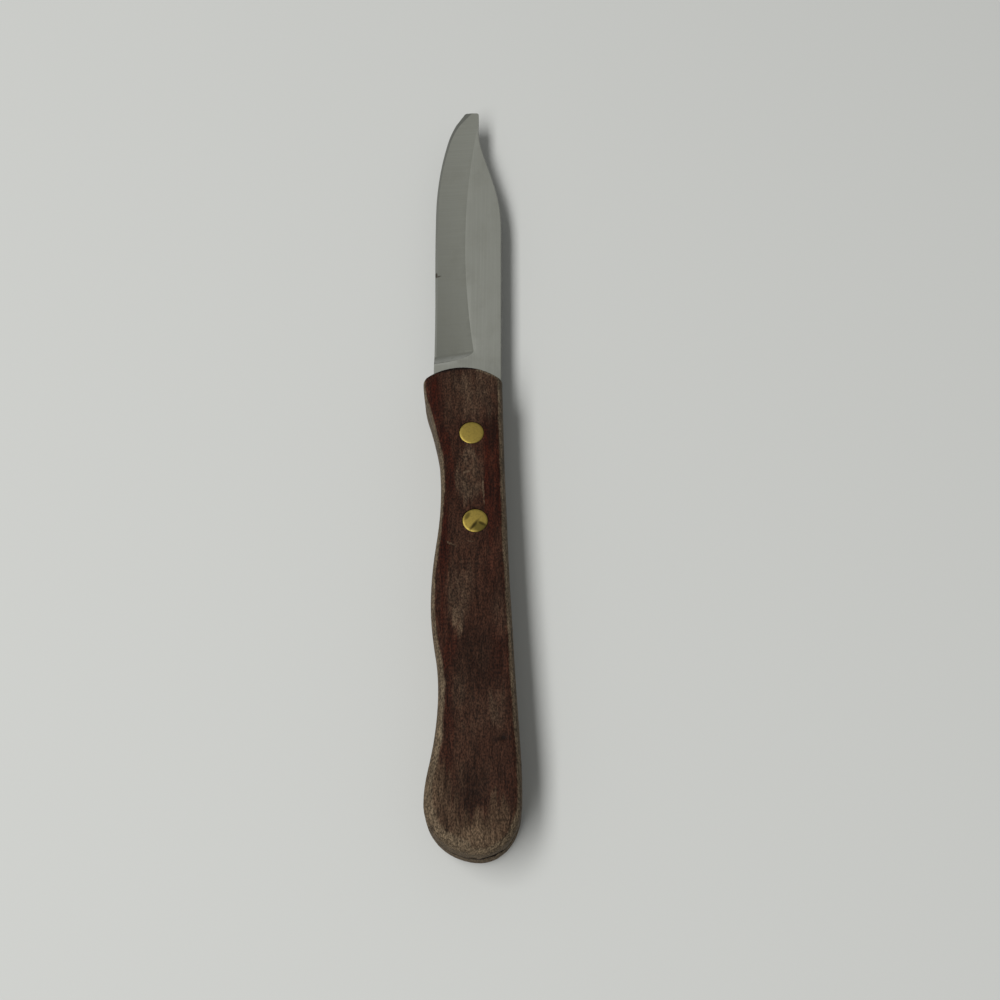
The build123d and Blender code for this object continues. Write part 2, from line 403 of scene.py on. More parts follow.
    def _front_edge_shade(self, tree: NodeTree, point: NodeSocket) -> NodeSocket:
        """Draws painted shade: a dark line along the wood's rounded front edge, where the steel goes in."""
        inside = self.front_shade_inside.mask(tree, point)
        outside = add_node(tree, "Math", {0: 1.0, 1: inside}, operation="SUBTRACT").outputs[0]
        return product(tree, outside, self.front_shade_span.mask(tree, point))

    def _rubbed_lit_rim_mask(self, tree: NodeTree, mottle: NodeSocket) -> NodeSocket:
        """Draws the handle's edges where hands have rubbed the stain off and where they are painted lighter
        against their shade, broken up by the mottle.
        """
        edge = add_node(tree, "Attribute", attribute_name="rubbed_and_lit").outputs["Fac"]
        rubbed_and_lit = add_node(tree, "Math", {0: mottle, 1: self.rim_break, 2: edge}, operation="MULTIPLY_ADD")
        low, high = self.rim_range
        fade = {"Value": rubbed_and_lit.outputs[0], "From Min": low, "From Max": high}
        return add_node(tree, "MapRange", fade, interpolation_type="SMOOTHSTEP").outputs["Result"]


@dataclass(frozen=True)
class SatinSteel(Finish):
    """High-carbon steel, ground on a wheel, brushed lengthwise, dulled by years of use.

    What it gives the eye: a soft grey sheen, hair lines along the flat and fine grinding lines
    across the hollow, with faint clouds of patina. The plunge's run-out is painted lighter,
    against the shade on its slope, and the tones along the blade carry some painted sheen.
    """

    name: str = "satin_ground_steel"
    # The tones lighten from the heel towards the point, the hollow's much more than the flat's: partly the
    # two finishes, partly painted sheen
    flat_tones_and_sheen: tuple[str, str] = ("94958E", "9D9E96")
    ground_tones_and_sheen: tuple[str, str] = ("6C6D66", "92938B")
    tone_and_sheen_span: Pair = (12.0, 85.0)
    honed_tone: str = "757670"
    # Painted light on the plunge's run-out, against the shade on its slope
    run_out_painted_light: str = "A3A49E"
    patina: str = "6E6E66"
    stain: str = "3A342C"
    # Real hair lines and grinding lines are about 0.05 mm apart; both are drawn coarser to show
    brushed: Grain = Grain((0.22, 26.0, 0.22), 3.0, 0.3, 0.7)
    wheeled: Grain = Grain((16.0, 0.3, 16.0), 3.0, 0.3, 0.7)
    clouds: Grain = Grain((7.0, 11.0, 7.0), 4.0, 0.42, 0.7)
    cloud_strength: float = 0.35
    line_strength: float = 0.2
    roughness_range: Pair = (0.51, 0.63)
    relief: float = mm(0.006)
    relief_strength: float = 0.6
    grind_centre: Pair = (0.0, 0.0)
    grind_radius: float = 1.0
    grind_line_width: float = 0.12
    wheel_start: Pair = (14.0, 15.0)
    hollow_start: Pair = (0.002, 0.012)
    mid_height: float = 6.25
    half_thickness: float = 0.7
    stains: Patches = ()

    def _surface(self, tree: NodeTree, point: NodeSocket) -> dict:
        """Draws the flat and the hollow, their lines, the patina and the stains."""
        ground = self._ground_mask(tree, point)
        grains = (self.brushed, self.wheeled, self.clouds)
        along, across, clouds = (grain.draw(tree, point) for grain in grains)
        lines = add_node(tree, "Mix", {0: ground, 2: along, 3: across}).outputs[0]
        ahead = add_node(tree, "SeparateXYZ", {0: point}).outputs["Y"]
        start, end = self.tone_and_sheen_span
        forward = add_node(tree, "MapRange", {"Value": ahead, "From Min": start, "From Max": end})
        # Tones along the blade: partly the finishes, partly painted sheen
        flat, hollow = (
            layered(tree, rear, (forward.outputs["Result"], front))
            for rear, front in (self.flat_tones_and_sheen, self.ground_tones_and_sheen)
        )
        honed, run_out = (
            add_node(tree, "Attribute", attribute_name=name).outputs["Fac"]
            for name in ("honed", "run_out")
        )
        low, high = self.roughness_range
        roughness = add_node(tree, "MapRange", {"Value": clouds, "To Min": low, "To Max": high})
        relief = {"Height": lines, "Distance": self.relief, "Strength": self.relief_strength}
        return {
            "Base Color": layered(
                tree,
                flat,
                (ground, hollow),
                (product(tree, clouds, self.cloud_strength), self.patina),
                (product(tree, lines, self.line_strength), self.patina),
                (honed, self.honed_tone),
                # Painted light on the run-out's slope
                (run_out, self.run_out_painted_light),
                (all_patches(tree, point, self.stains), self.stain),
            ),
            "Metallic": 1.0,
            "Roughness": roughness.outputs["Result"],
            "Normal": add_node(tree, "Bump", relief).outputs["Normal"],
        }

    def _ground_mask(self, tree: NodeTree, point: NodeSocket) -> NodeSocket:
        """Draws where the wheel has been: past its grind line and below the flats."""
        flat = add_node(tree, "VectorMath", {0: point, 1: (1.0, 1.0, 0.0)}, operation="MULTIPLY")
        ends = {0: flat.outputs[0], 1: (*self.grind_centre, 0.0)}
        reach = add_node(tree, "VectorMath", ends, operation="DISTANCE").outputs["Value"]
        parts = add_node(tree, "SeparateXYZ", {0: point}).outputs
        height = parts["Z"]
        for operation, other in (("SUBTRACT", self.mid_height), ("ABSOLUTE", 0.0)):
            height = add_node(tree, "Math", {0: height, 1: other}, operation=operation).outputs[0]
        rises = (
            (reach, self.grind_radius, self.grind_radius + self.grind_line_width),
            (height, *(self.half_thickness - depth for depth in self.hollow_start)),
            (parts["Y"], *self.wheel_start),
        )
        masks = (
            add_node(tree, "MapRange", {"Value": value, "From Min": low, "From Max": high})
            for value, low, high in rises
        )
        return product(tree, *(mask.outputs["Result"] for mask in masks))


@dataclass(frozen=True)
class AgedBrass(Finish):
    """Cartridge brass, headed and pressed flush, then sanded with the scales and left to dull.

    What it gives the eye: a warm yellow-olive disc with fine sanding lines along the handle, a
    browner rim, and dirt where it has been scraped.
    """

    bright: str = "93803F"
    dull: str = "806F38"
    tarnish: str = "564C24"
    dirt: str = "221D0F"
    # Real sanding lines are about 0.1 mm apart; they are drawn coarser so that they show
    sanding: Grain = Grain((0.22, 26.0, 0.22), 2.0, 0.35, 0.65)
    specks: Grain = Grain((0.5, 0.5, 0.5), 3.0, 0.45, 0.75)
    sanding_strength: float = 0.25
    roughness: float = 0.45
    relief: float = mm(0.01)
    relief_strength: float = 0.6
    centre: Pair = (0.0, 0.0)
    radius: float = 1.0
    rim_soft: float = 0.12
    tarnished: Patches = ()
    dirty: Patches = ()

    def _surface(self, tree: NodeTree, point: NodeSocket) -> dict:
        """Draws the sanded disc, its browner rim, and tarnish and dirt where it has them."""
        sanding, specks = (grain.draw(tree, point) for grain in (self.sanding, self.specks))
        inner = Patch(self.centre, (self.radius, self.radius), soft=self.rim_soft).mask(tree, point)
        rim = add_node(tree, "Math", {0: 1.0, 1: inner}, operation="SUBTRACT").outputs[0]
        marks = ((self.tarnished, self.tarnish), (self.dirty, self.dirt))
        relief = {"Height": specks, "Distance": self.relief, "Strength": self.relief_strength}
        return {
            "Base Color": layered(
                tree,
                self.bright,
                (specks, self.dull),
                (product(tree, sanding, self.sanding_strength), self.dull),
                (rim, self.tarnish),
                *((all_patches(tree, point, patches), tone) for patches, tone in marks if patches),
            ),
            "Metallic": 1.0,
            "Roughness": self.roughness,
            "Normal": add_node(tree, "Bump", relief).outputs["Normal"],
        }


@dataclass(frozen=True)
class MattLaminate(Finish):
    """Pale laminate pressed with a matt face, for the table top.

    What it gives the eye: an even, almost white ground without a sheen.
    """

    name: str = "matt_pale_laminate"
    tone: str = "C4C5C2"
    roughness: float = 0.9
    specular: float = 0.1

    def _surface(self, tree: NodeTree, point: NodeSocket) -> dict:
        """Gives the plain face, the same everywhere."""
        return {
            "Base Color": linear(self.tone),
            "Roughness": self.roughness,
            "Specular IOR Level": self.specular,
        }


def merged_copy(node: str) -> BMesh:
    """Copies a CAD node's mesh and joins its loose triangles into whole walls."""
    shape = bmesh.new()
    shape.from_mesh(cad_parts[node].data)
    bmesh.ops.remove_doubles(shape, verts=shape.verts, dist=MERGE_DISTANCE)
    bmesh.ops.dissolve_limit(shape, angle_limit=FLAT_ANGLE, verts=shape.verts, edges=shape.edges)
    return shape


def cut(shape: BMesh, place: Vector, normal: Vector, **clearing: bool) -> None:
    """Cuts a shape's faces by a plane, and clears what the settings say."""
    everything = shape.verts[:] + shape.edges[:] + shape.faces[:]
    bmesh.ops.bisect_plane(
        shape, geom=everything, dist=MERGE_DISTANCE, plane_co=place, plane_no=normal, **clearing
    )


def cut_across(shape: BMesh, low: Vector, high: Vector, axes: str, step: float) -> None:
    """Cuts a shape's faces, without opening them, by planes a step apart along each axis in turn."""
    for axis in axes:
        direction = Vector([float(axis == name) for name in "xyz"])
        start, stop = low @ direction, high @ direction
        for number in range(1, math.ceil((stop - start) / step)):
            cut(shape, direction * (start + number * step), direction)


def to_object(shape: BMesh, name: str) -> Object:
    """Turns a finished shape into an object of the scene, and frees the shape."""
    mesh = bpy.data.meshes.new(name)
    shape.to_mesh(mesh)
    shape.free()
    piece = bpy.data.objects.new(name, mesh)
    bpy.context.scene.collection.objects.link(piece)
    return piece


def shade(piece: Object, crease_angle: float) -> None:
    """Shades a piece smoothly, but for the edges that turn by more than the crease angle."""
    piece.data.shade_smooth()
    piece.data.set_sharp_from_angle(angle=crease_angle)


def hand_in(piece: Object, node: str, material: Material) -> None:
    """Dresses a finished piece, puts it in its CAD node's stead and reports it."""
    piece.data.materials.clear()
    piece.data.materials.append(material)
    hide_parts(node)
    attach(piece, "root")
    log.info("%s: %d faces, %s", piece.name, len(piece.data.polygons), material.name)


class Side(Enum):
    """The two scales of the handle, by the name of their CAD node."""

    UPPER = "upper_scale"
    LOWER = "lower_scale"


@dataclass(frozen=True)
class Dent:
    """A hollow pressed or broken into the wood.

    Attributes:
        centre: its middle in mm.
        radii: its half sizes in mm.
        depth: how deep it is, in mm.
    """

    centre: Triple
    radii: Triple
    depth: float

    def reach(self, at: Vector) -> float:
        """Measures how far from the dent's middle a place in mm lies: 1 at the dent's border."""
        return math.hypot(*((a - c) / r for a, c, r in zip(at, self.centre, self.radii)))


@dataclass
class Scale:
    """One half of the wooden handle, with its worn edges, dents and the open seam."""

    side: Side
    finish: WornHardwood
    dents: tuple[Dent, ...] = ()
    grid: float = mm(0.8)
    round_over: float = mm(2.4)
    skin: float = mm(0.01)
    side_skin: float = mm(0.03)
    bore_ease: float = mm(0.1)
    ribbon_share: float = 0.35
    ribbon_height: float = mm(1)
    seam_width: float = mm(0.35)
    seam_depth: float = mm(0.16)
    seam_ripple: float = mm(2.2)
    sway_depth: float = mm(0.1)
    sway_size: Triple = (7.0, 12.0, 7.0)
    grain_depth: float = mm(0.05)
    grain_size: Triple = (1.1, 14.0, 1.1)
    # The first: faces within this band of the seam count as inner, are not worn and get painted shade; the
    # second: how far up the side walls darken towards the seam; the third: how much dirt the breaks hold
    inner_band: float = mm(1)
    seam_dark_width: float = mm(0.45)
    broken_grime: float = 0.85
    dent_span: Pair = (1.0, 0.2)
    dirty_depth: float = 0.4
    dirt_span: Pair = (0.9, 0.3)
    # The rubbed rim's widths along the knife, then its width and strength on the back: real wear, partly
    # painted lighter against the shade on the rim's sloping sides
    edge_rub_and_light: tuple[Pair, ...] = (
        (8.0, 0.5), (-4.0, 0.5), (-11.0, 0.95), (-21.0, 1.0), (-50.0, 1.0), (-56.0, 1.7), (-63.0, 1.6),
        (-71.0, 1.7), (-78.0, 1.6), (-84.0, 2.4),
    )
    back_start: float = mm(1)
    back_rub_and_light: float = mm(1.25)
    back_rub_and_light_strength: float = 0.95
    rub_and_light_fade_shares: Pair = (1.3, 0.5)
    crease_angle: float = math.radians(40)
    low: Vector = field(init=False)
    high: Vector = field(init=False)
    heads: list[tuple[Vector, float]] = field(init=False)
    ribbon: BVHTree = field(init=False)

    def __post_init__(self) -> None:
        """Reads the scale's box, its rivet heads and its outline from the frame."""
        self.low, self.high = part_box(self.side.value)
        boxes = [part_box(station.value + "_rivet_post") for station in Station]
        self.heads = [((low + high).xy / 2, (high.x - low.x) / 2) for low, high in boxes]
        self.ribbon = self._outline_ribbon()

    @property
    def middle(self) -> float:
        """The height of the plane in which the two scales meet."""
        return self.low.z if self.side is Side.UPPER else self.high.z

    @property
    def outer(self) -> float:
        """The height of the scale's broad outer face."""
        return self.high.z if self.side is Side.UPPER else self.low.z

    @property
    def ribbon_level(self) -> float:
        """The height at which the scale's outline is taken, between its two broad faces."""
        return self.middle + self.ribbon_share * (self.outer - self.middle)

    def _outline_ribbon(self) -> BVHTree:
        """Makes an upright ribbon along the scale's outline, to measure distances from."""
        shape = merged_copy(self.side.value)
        level, up = Vector((0, 0, self.ribbon_level)), Vector((0, 0, 1))
        cut(shape, level, up, clear_inner=True, clear_outer=True)
        bores = [vert for vert in shape.verts if self._in_bore(vert.co)]
        bmesh.ops.delete(shape, geom=bores, context="VERTS")
        raised = bmesh.ops.extrude_edge_only(shape, edges=shape.edges[:])["geom"]
        grown = [part for part in raised if isinstance(part, BMVert)]
        bmesh.ops.translate(shape, verts=grown, vec=Vector((0, 0, self.ribbon_height)))
        tree = BVHTree.FromBMesh(shape)
        shape.free()
        return tree

    def _in_bore(self, point: Vector) -> bool:
        """Tells whether a place is at a rivet's bore."""
        return any((point.xy - centre).length < radius + self.bore_ease for centre, radius in self.heads)

    def edge_distance(self, point: Vector) -> float:
        """Measures how far inside the outline a place lies in plan, in metres."""
        level = self.ribbon_level + self.ribbon_height / 2
        return self.ribbon.find_nearest(Vector((point.x, point.y, level)))[3]

    def build(self) -> Object:
        """Makes the scale's mesh, wears it and paints its attributes."""
        shape = merged_copy(self.side.value)
        cut_across(shape, self.low, self.high, "yxz", self.grid)
        crease = shape.edges.layers.float.new("crease_edge")
        for edge in shape.edges:
            if edge.is_manifold and edge.calc_face_angle() > self.crease_angle:
                edge[crease] = 1.0
        piece = to_object(shape, self.side.value + "_worn")
        rounding = piece.modifiers.new("rounding", "SUBSURF")
        rounding.levels = rounding.render_levels = 1
        evaluated = piece.evaluated_get(bpy.context.evaluated_depsgraph_get())
        rounded = bpy.data.meshes.new_from_object(evaluated)
        piece.modifiers.clear()
        piece.data = rounded
        self._wear(piece)
        hand_in(piece, self.side.value, self.finish.make())
        return piece

    def _wear(self, piece: Object) -> None:
        """Wears the outer surfaces inwards, paints where they are rubbed and painted lighter, and paints
        dirt in the breaks and shade in the gaps between the parts.
        """
        shape = bmesh.new()
        shape.from_mesh(piece.data)
        shape.normal_update()
        rubbed_and_lit = shape.verts.layers.float.new("rubbed_and_lit")
        grime_and_shade = shape.verts.layers.float.new("grime_and_shade")
        moves: list[tuple[BMVert, Vector]] = []
        for vert in shape.verts:
            point = vert.co
            distance = self.edge_distance(point)
            from_seam = abs(point.z - self.middle)
            from_face = abs(point.z - self.outer)
            is_side = distance < self.side_skin
            is_inner = from_seam <= self.inner_band
            is_outer = is_side or from_face < self.skin or from_face < self.round_over and not is_inner
            bored = self._in_bore(point)
            # The rubbed rim: real wear, and painted light against the shade on its sloping sides
            vert[rubbed_and_lit] = self._rubbed_and_lit(point, distance)
            # Painted shade: faces in the gaps between the parts and in the bores are darkened, and the side
            # walls darker towards the seam
            hidden = float(is_inner or bored and from_face > 2 * self.skin)
            seam_dark = smooth_step(self.seam_dark_width, 0.0, from_seam) if is_side else hidden
            vert[grime_and_shade] = max(seam_dark, self._dirt(point))
            if not is_outer or bored:
                continue
            depth = self._depth(point)
            if is_side:
                broken = 0.5 + noise.noise(point / self.seam_ripple)
                depth += self.seam_depth * broken * smooth_step(self.seam_width, 0.0, from_seam)
            moves.append((vert, vert.normal * -depth))
        for vert, move in moves:
            vert.co += move
            vert.co.z = min(max(vert.co.z, self.low.z), self.high.z)
        shape.to_mesh(piece.data)
        shape.free()
        shade(piece, self.crease_angle)

    def _depth(self, point: Vector) -> float:
        """Works out how far the surface is worn in at a place, in metres and never negative."""
        at = point * MILLIMETRES
        slow, quick = (
            noise.noise(Vector([part / length for part, length in zip(at, size)]))
            for size in (self.sway_size, self.grain_size)
        )
        depth = self.sway_depth * (0.5 + 0.5 * slow) + self.grain_depth * abs(quick)
        for dent in self.dents:
            depth += mm(dent.depth) * smooth_step(*self.dent_span, dent.reach(at))
        return depth

    def _dirt(self, point: Vector) -> float:
        """Works out how much dirt the wood's broken places hold, from 0 to 1."""
        at = point * MILLIMETRES
        dirty = (dent for dent in self.dents if dent.depth >= self.dirty_depth)
        shares = (smooth_step(*self.dirt_span, dent.reach(at)) for dent in dirty)
        return self.broken_grime * max(shares, default=0.0)

    def _rubbed_and_lit(self, point: Vector, distance: float) -> float:
        """Works out how far the stain is rubbed off, and the edge painted lighter against its shade, at a
        distance from the outline, from 0 to 1.
        """
        far, near = self.rub_and_light_fade_shares
        if point.x > self.back_start:
            return self.back_rub_and_light_strength * smooth_step(self.back_rub_and_light * far, self.back_rub_and_light * near, distance)
        stations = self.edge_rub_and_light
        ahead, behind = next(
            ((a, b) for a, b in zip(stations, stations[1:]) if point.y * MILLIMETRES > b[0]), stations[-2:]
        )
        share = smooth_step(ahead[0], behind[0], point.y * MILLIMETRES)
        width = mm(ahead[1] + share * (behind[1] - ahead[1]))
        return smooth_step(width * far, width * near, distance)


@dataclass
class Blade:
    """The hollow-ground blade with its half tang."""

    finish: SatinSteel
    width: float = mm(BLADE_WIDTH)
    grind_width: float = mm(9)
    grind_depth: float = mm(0.57)
    grind_start: Pair = (7.5, 6.2)
    grind_full: Pair = (0.56 * BLADE_LENGTH, 8.4)
    grind_end: Pair = (1.06 * BLADE_LENGTH, 0.26 * BLADE_WIDTH)
    past_grind_share: float = 1.5
    edge_half: float = mm(0.01)
    facet_error: float = mm(0.03)
    grid: float = mm(1.5)
    crease_angle: float = math.radians(4.5)
    hone_slope: Pair = (0.93, 0.985)
    hone_start: float = mm(5)
    run_out_end: float = mm(14)
    run_out_slope: float = 0.775
    run_out_turn: Pair = (0.03, 0.4)

    def build(self) -> Object:
        """Makes the blade's mesh with the hollow brought onto the wheel's true surface."""
        shape = merged_copy("blade")
        low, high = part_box("blade")
        cut_across(shape, low, high, "yx", self.grid)
        self._true_hollow(shape, low, high)
        honed = shape.faces.layers.float.new("honed")
        run_out = shape.verts.layers.float.new("run_out")
        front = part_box(Side.UPPER.value)[1].y
        shape.normal_update()
        # Marks the plunge's run-out, whose colour is painted lighter against the shade on its slope
        for vert in shape.verts:
            if vert.co.y < front + self.run_out_end and abs(vert.normal.z) > self.run_out_slope:
                vert[run_out] = smooth_step(*self.run_out_turn, vert.normal.y)
        for face in shape.faces:
            steep = self.hone_slope[0] < abs(face.normal.z) < self.hone_slope[1]
            centre = face.calc_center_median()
            at_edge = centre.x < (low.x + high.x) / 2 and centre.y > front + self.hone_start
            face[honed] = float(steep and at_edge)
        piece = to_object(shape, "blade_satin")
        shade(piece, self.crease_angle)
        centre, radius = self._grind_circle(low)
        finish = replace(
            self.finish,
            grind_centre=tuple(centre * MILLIMETRES),
            grind_radius=radius * MILLIMETRES,
            mid_height=(low.z + high.z) / 2 * MILLIMETRES,
            half_thickness=(high.z - low.z) / 2 * MILLIMETRES,
        )
        hand_in(piece, "blade", finish.make())
        return piece

    def _grind_circle(self, low: Vector) -> tuple[Vector, float]:
        """Finds the centre and radius of the long arc that the grind line follows in plan."""
        back, front = low.x + self.width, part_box(Side.UPPER.value)[1].y
        stations = (self.grind_start, self.grind_full, self.grind_end)
        return circle_through(*(Vector((back - mm(reach), front + mm(ahead))) for ahead, reach in stations))

    def _true_hollow(self, shape: BMesh, low: Vector, high: Vector) -> None:
        """Moves the hollow's vertices onto the surface that the wheel leaves."""
        centre, radius = self._grind_circle(low)
        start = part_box(Side.UPPER.value)[1].y + mm(self.grind_start[0])
        wheel = (self.grind_width**2 + self.grind_depth**2) / (2 * self.grind_depth)
        middle, half = (low.z + high.z) / 2, (high.z - low.z) / 2
        for vert in shape.verts:
            reach = (vert.co.xy - centre).length - radius
            height = abs(vert.co.z - middle)
            is_past = 0 < reach < self.grind_width * self.past_grind_share
            if vert.co.y < start or not is_past or height < self.edge_half:
                continue
            hollow = self.grind_depth - wheel + math.sqrt(wheel**2 - (self.grind_width - reach) ** 2)
            true_height = half - hollow
            if abs(true_height - height) < self.facet_error:
                vert.co.z = middle + math.copysign(true_height, vert.co.z - middle)


def circle_through(first: Vector, second: Vector, third: Vector) -> tuple[Vector, float]:
    """Finds the centre and radius of the circle through three points of a plane."""
    side, other = second - first, third - first
    cross = 2 * (side.x * other.y - side.y * other.x)
    offset = Vector((
        other.y * side.length_squared - side.y * other.length_squared,
        side.x * other.length_squared - other.x * side.length_squared,
    )) / cross
    return first + offset, offset.length


class Station(Enum):
    """The two rivets, by the first word of their CAD nodes' names."""

    FRONT = "front"
    REAR = "rear"


@dataclass
class Rivet:
    """One compression rivet: a post from above, pressed into a tube from below."""

    station: Station
    finish: AgedBrass
    crown: float = mm(0.06)
    easing: float = mm(0.14)
    dome_shares: tuple[Pair, ...] = ((0.45, 0.2), (0.8, 0.7))
    easing_shares: Pair = (0.3, 0.35)
    head_thickness: float = mm(1.2)
    post_radius: float = mm(1.1)
    tube_radius: float = mm(1.8)
    bore_radius: float = mm(1.15)
    crease_angle: float = math.radians(40)

    def build(self) -> tuple[Object, Object]:
        """Makes the post and the tube."""
        post_low, post_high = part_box(self.station.value + "_rivet_post")
        tube_low, tube_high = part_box(self.station.value + "_rivet_tube")
        centre = tuple((post_low + post_high).xy / 2 * MILLIMETRES)
        radius = (post_high.x - post_low.x) / 2 * MILLIMETRES
        material = replace(self.finish, centre=centre, radius=radius).make()
        post = self._turned("post", post_high.z, post_low.z, self.post_radius, None)
        tube = self._turned("tube", tube_low.z, tube_high.z, self.tube_radius, self.bore_radius)
        for kind, piece in (("post", post), ("tube", tube)):
            hand_in(piece, f"{self.station.value}_rivet_{kind}", material)
        return post, tube

    def _turned(self, kind: str, face: float, end: float, shank: float, bore: float | None) -> Object:
        """Turns one half of the rivet about its own axis.

        Args:
            kind: which half, the post or the tube.
            face: the height of the head's outer face.
            end: the height of the shank's end.
            shank: the shank's radius.
            bore: the radius of the bore in the shank, if it has one.

        Returns:
            The half as an object.
        """
        low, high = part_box(f"{self.station.value}_rivet_{kind}")
        centre, radius = (low + high) / 2, (high.x - low.x) / 2
        inward = math.copysign(1, end - face)
        under = face + inward * self.head_thickness
        out, down = self.easing_shares
        profile = [
            (0.0, face),
            *((reach * radius, face + inward * self.crown * drop) for reach, drop in self.dome_shares),
            (radius - self.easing, face + inward * self.crown),
            (radius - out * self.easing, face + inward * (self.crown + down * self.easing)),
            (radius, face + inward * (self.crown + self.easing)),
            (radius, under),
            (shank, under),
            (shank, end),
        ]
        profile += [(0.0, end)] if bore is None else [(bore, end), (bore, under), (0.0, under)]
        shape = bmesh.new()
        rim = [shape.verts.new((centre.x + reach, centre.y, height)) for reach, height in profile]
        edges = [shape.edges.new(pair) for pair in zip(rim, rim[1:])]
        bmesh.ops.spin(
            shape, geom=rim + edges, cent=Vector((centre.x, centre.y, 0)), axis=Vector((0, 0, 1)),
            angle=math.tau, steps=ROUND_STEPS, use_merge=True,
        )
        bmesh.ops.remove_doubles(shape, verts=shape.verts, dist=MERGE_DISTANCE)
        bmesh.ops.recalc_face_normals(shape, faces=shape.faces)
        piece = to_object(shape, f"{self.station.value}_rivet_{kind}_turned")
        shade(piece, self.crease_angle)
        return piece


@dataclass(frozen=True)
class Lamp:
    """A long soft light that hangs along the knife.

    Attributes:
        name: its name.
        power: its power in watts.
        length: its size along the knife, in metres.
        width: its size across, in metres.
        distance: how far it hangs from the origin, in metres.
        direction: where it hangs, seen from the origin.
    """

    name: str
    power: float
    length: float
    width: float
    distance: float
    direction: Triple


@dataclass
class Studio:
    """The pale table, the soft light over it and the camera."""

    table_radius: float = 1.6
    table_finish: MattLaminate = MattLaminate()
    sky_tone: str = "F1F2F0"
    sky_light: float = 0.3
    sky_seen: float = 0.5
    lamp: Lamp = Lamp("key_light", 22.8, 1.9, 0.42, 1.4, (-0.48, -0.3, 1.0))
    camera_distance: float = mm(255)
    camera_elevation: float = math.radians(63.5)
    camera_target: Triple = (6.33, -17.4, 6.25)
    camera_near: float = mm(10)
    focal_share: float = 1.2
    sensor: float = 36.0

    def build(self) -> None:
        """Makes the table, the light and the camera."""
        self._table()
        self._sky()
        self._hang(self.lamp)
        self._camera()
        log.info("studio: table, sky, light and camera")

    def _table(self) -> None:
        """Makes the round table top under the knife."""
        shape = bmesh.new()
        bmesh.ops.create_circle(shape, cap_ends=True, segments=ROUND_STEPS, radius=self.table_radius)
        table = to_object(shape, "table_top")
        table.data.materials.append(self.table_finish.make())

    def _sky(self) -> None:
        """Makes the surroundings: even light, and a pale backdrop where they are seen or mirrored."""
        world = bpy.data.worlds.new("pale_surroundings")
        bpy.context.scene.world = world
        world.use_nodes = True
        tree = world.node_tree
        tree.nodes.clear()
        path = add_node(tree, "LightPath")
        seen = path.outputs["Is Camera Ray"]
        for kind in ("Is Glossy Ray", "Is Transmission Ray"):
            either = {0: seen, 1: path.outputs[kind]}
            seen = add_node(tree, "Math", either, operation="MAXIMUM").outputs[0]
        levels = {"Value": seen, "To Min": self.sky_light, "To Max": self.sky_seen}
        strength = add_node(tree, "MapRange", levels).outputs["Result"]
        backdrop = add_node(tree, "Background", {"Color": linear(self.sky_tone), "Strength": strength})
        add_node(tree, "OutputWorld", {"Surface": backdrop.outputs[0]})

    def _hang(self, lamp: Lamp) -> None:
        """Hangs a soft light, turned to the knife."""
        source = bpy.data.lights.new(lamp.name, "AREA")
        source.shape = "RECTANGLE"
        source.size, source.size_y = lamp.length, lamp.width
        source.energy = lamp.power
        light = bpy.data.objects.new(lamp.name, source)
        direction = Vector(lamp.direction).normalized()
        across = direction.cross(Vector((0, 1, 0))).normalized()
        light.location = direction * lamp.distance
        light.rotation_euler = Matrix((across.cross(direction), across, direction)).transposed().to_euler()
        bpy.context.scene.collection.objects.link(light)

    def _camera(self) -> None:
        """Puts the camera at the viewpoint that was fitted to the photograph, over the butt."""
        lens = bpy.data.cameras.new("camera")
        lens.sensor_width = self.sensor
        lens.lens = self.focal_share * self.sensor
        lens.clip_start = self.camera_near
        camera = bpy.data.objects.new("camera", lens)
        back = Vector((0, -math.cos(self.camera_elevation), math.sin(self.camera_elevation)))
        camera.location = Vector(self.camera_target) / MILLIMETRES + back * self.camera_distance
        camera.rotation_euler = back.to_track_quat("Z", "Y").to_euler()
        bpy.context.scene.collection.objects.link(camera)
        bpy.context.scene.camera = camera
        bpy.context.scene.view_settings.view_transform = "Standard"


